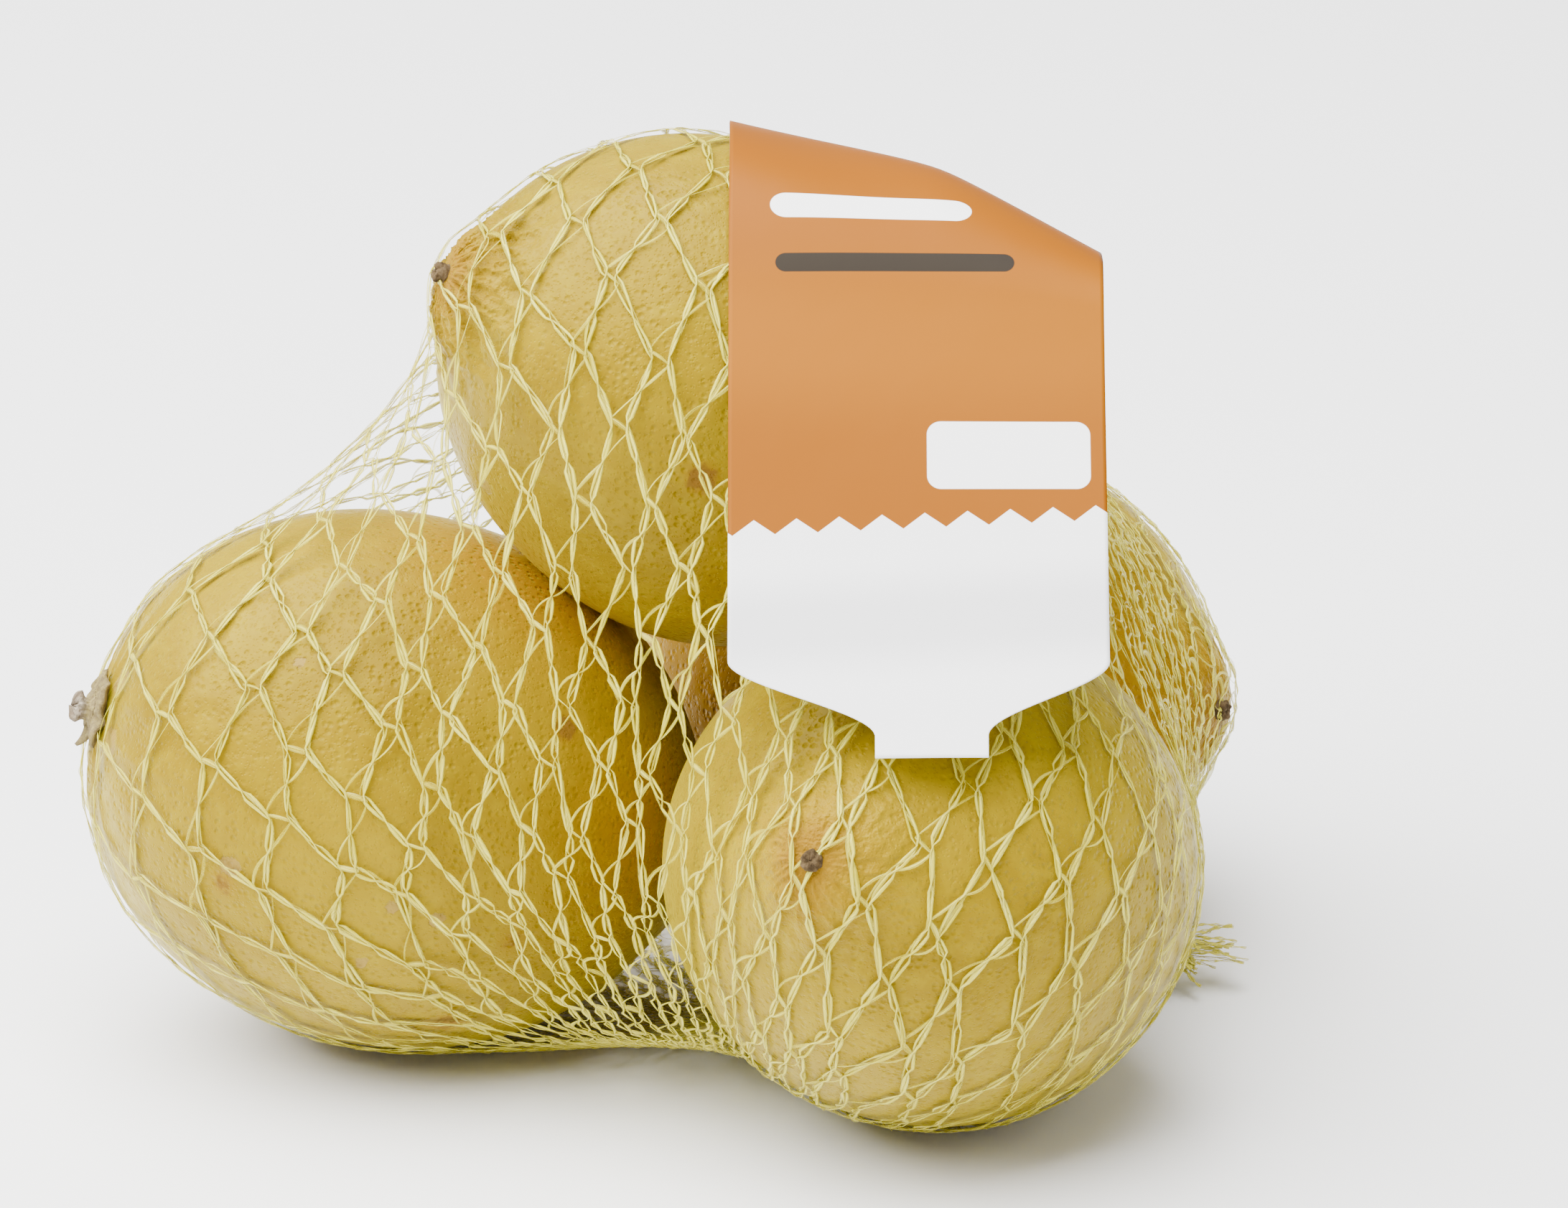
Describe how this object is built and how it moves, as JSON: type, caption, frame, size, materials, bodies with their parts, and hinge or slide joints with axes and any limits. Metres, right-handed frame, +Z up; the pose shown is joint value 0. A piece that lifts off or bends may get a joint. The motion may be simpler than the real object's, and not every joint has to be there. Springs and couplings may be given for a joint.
{
  "type": "net of lemons",
  "caption": "Knitted net of lemons under a folded film label, gathered and clipped at both ends, standing on its lower fruit.",
  "frame": {"origin": "middle of the base, on the surface that the net stands on", "axes": "+X to the right along the longest side, -Y the front with the label, +Z up"},
  "size_m": [0.1408, 0.1366, 0.1121],
  "materials": {
    "lemon_peel": "waxy pored citrus peel",
    "net_tape": "thin translucent drawn tape",
    "label_film": "satin printed film",
    "clip_metal": "satin",
    "stem": "dry and rough"
  },
  "bodies": {
    "root": {"filled_net": "lemon_peel", "label": "label_film", "top_clip": "clip_metal", "low_clip": "clip_metal", "stem_button": "stem"}
  },
  "joints": []
}
